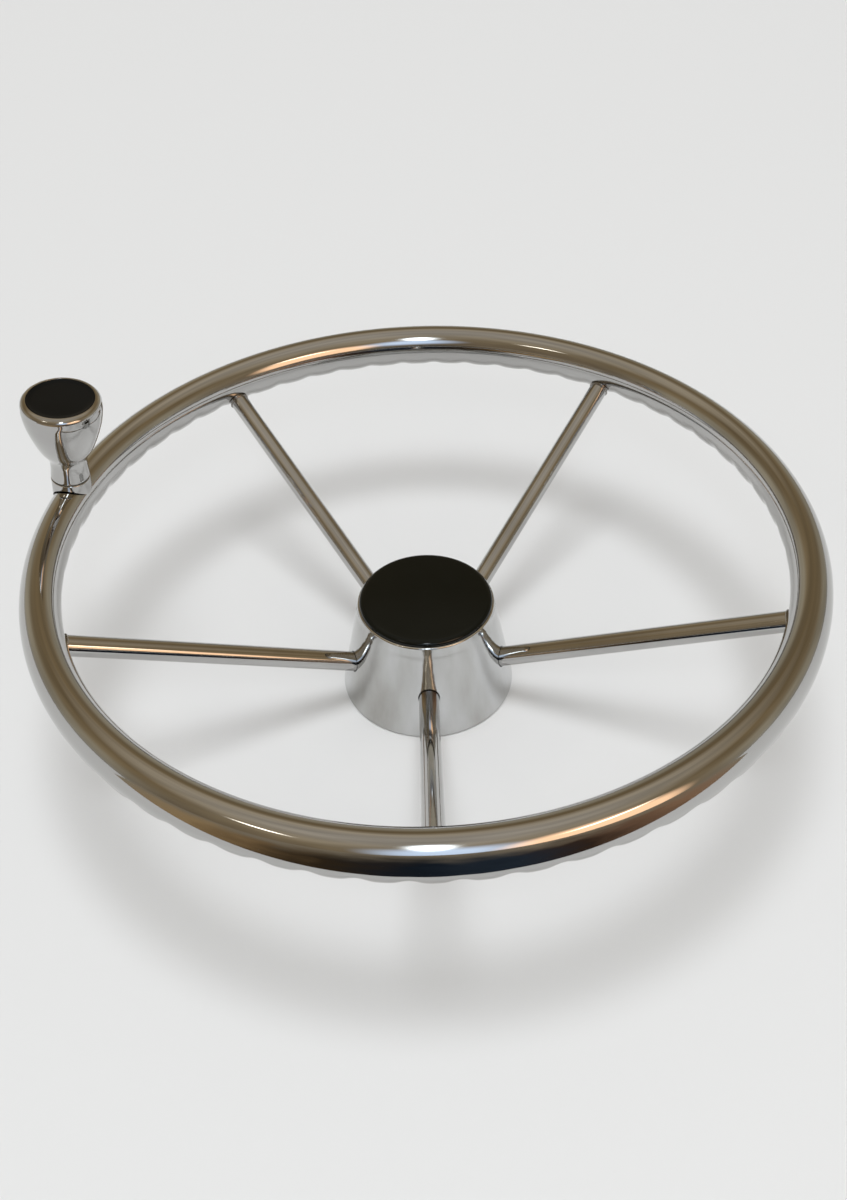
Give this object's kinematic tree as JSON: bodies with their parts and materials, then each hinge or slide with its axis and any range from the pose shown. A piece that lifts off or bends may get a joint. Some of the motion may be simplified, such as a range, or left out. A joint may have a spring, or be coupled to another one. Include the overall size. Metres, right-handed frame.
{
  "type": "boat steering wheel",
  "caption": "Polished stainless boat steering wheel with an oval tube rim gripped underneath, straight round spokes, a conical hub with a black cap and a free-turning knob",
  "frame": {"origin": "middle of the hub's back face, on the shaft axis", "axes": "+Z runs along the shaft axis towards the driver, -Y points along the first spoke, and the knob stands on the -X side of the rim"},
  "size_m": [0.3936, 0.3936, 0.1588],
  "materials": {
    "polished_stainless": "mirror-polished stainless steel",
    "turned_steel": "turned stainless steel",
    "black_cap": "gloss black moulded plastic",
    "black_insert": "satin black plastic",
    "bush_plastic": "natural acetal",
    "nylon": "natural nylon"
  },
  "bodies": {
    "wheel": {"rim": "polished_stainless", "spoke_1": "polished_stainless", "spoke_2": "polished_stainless", "spoke_3": "polished_stainless", "spoke_4": "polished_stainless", "spoke_5": "polished_stainless", "hub_shell": "polished_stainless", "hub_boss": "turned_steel", "hub_back_plate": "turned_steel", "center_cap": "black_cap", "knob_saddle": "polished_stainless", "knob_spindle": "turned_steel", "knob_washer": "turned_steel", "knob_nut": "turned_steel", "knob_nut_ring": "nylon"},
    "knob": {"knob_body": "polished_stainless", "knob_insert": "black_insert", "knob_lower_bush": "bush_plastic", "knob_upper_bush": "bush_plastic"}
  },
  "joints": [
    {"name": "knob_spin", "type": "hinge", "parent": "wheel", "child": "knob", "pos_m": [-0.17792, 0.04502, 0.13243], "axis": [0.1131, -0.0286, 0.9932], "continuous": true}
  ]
}
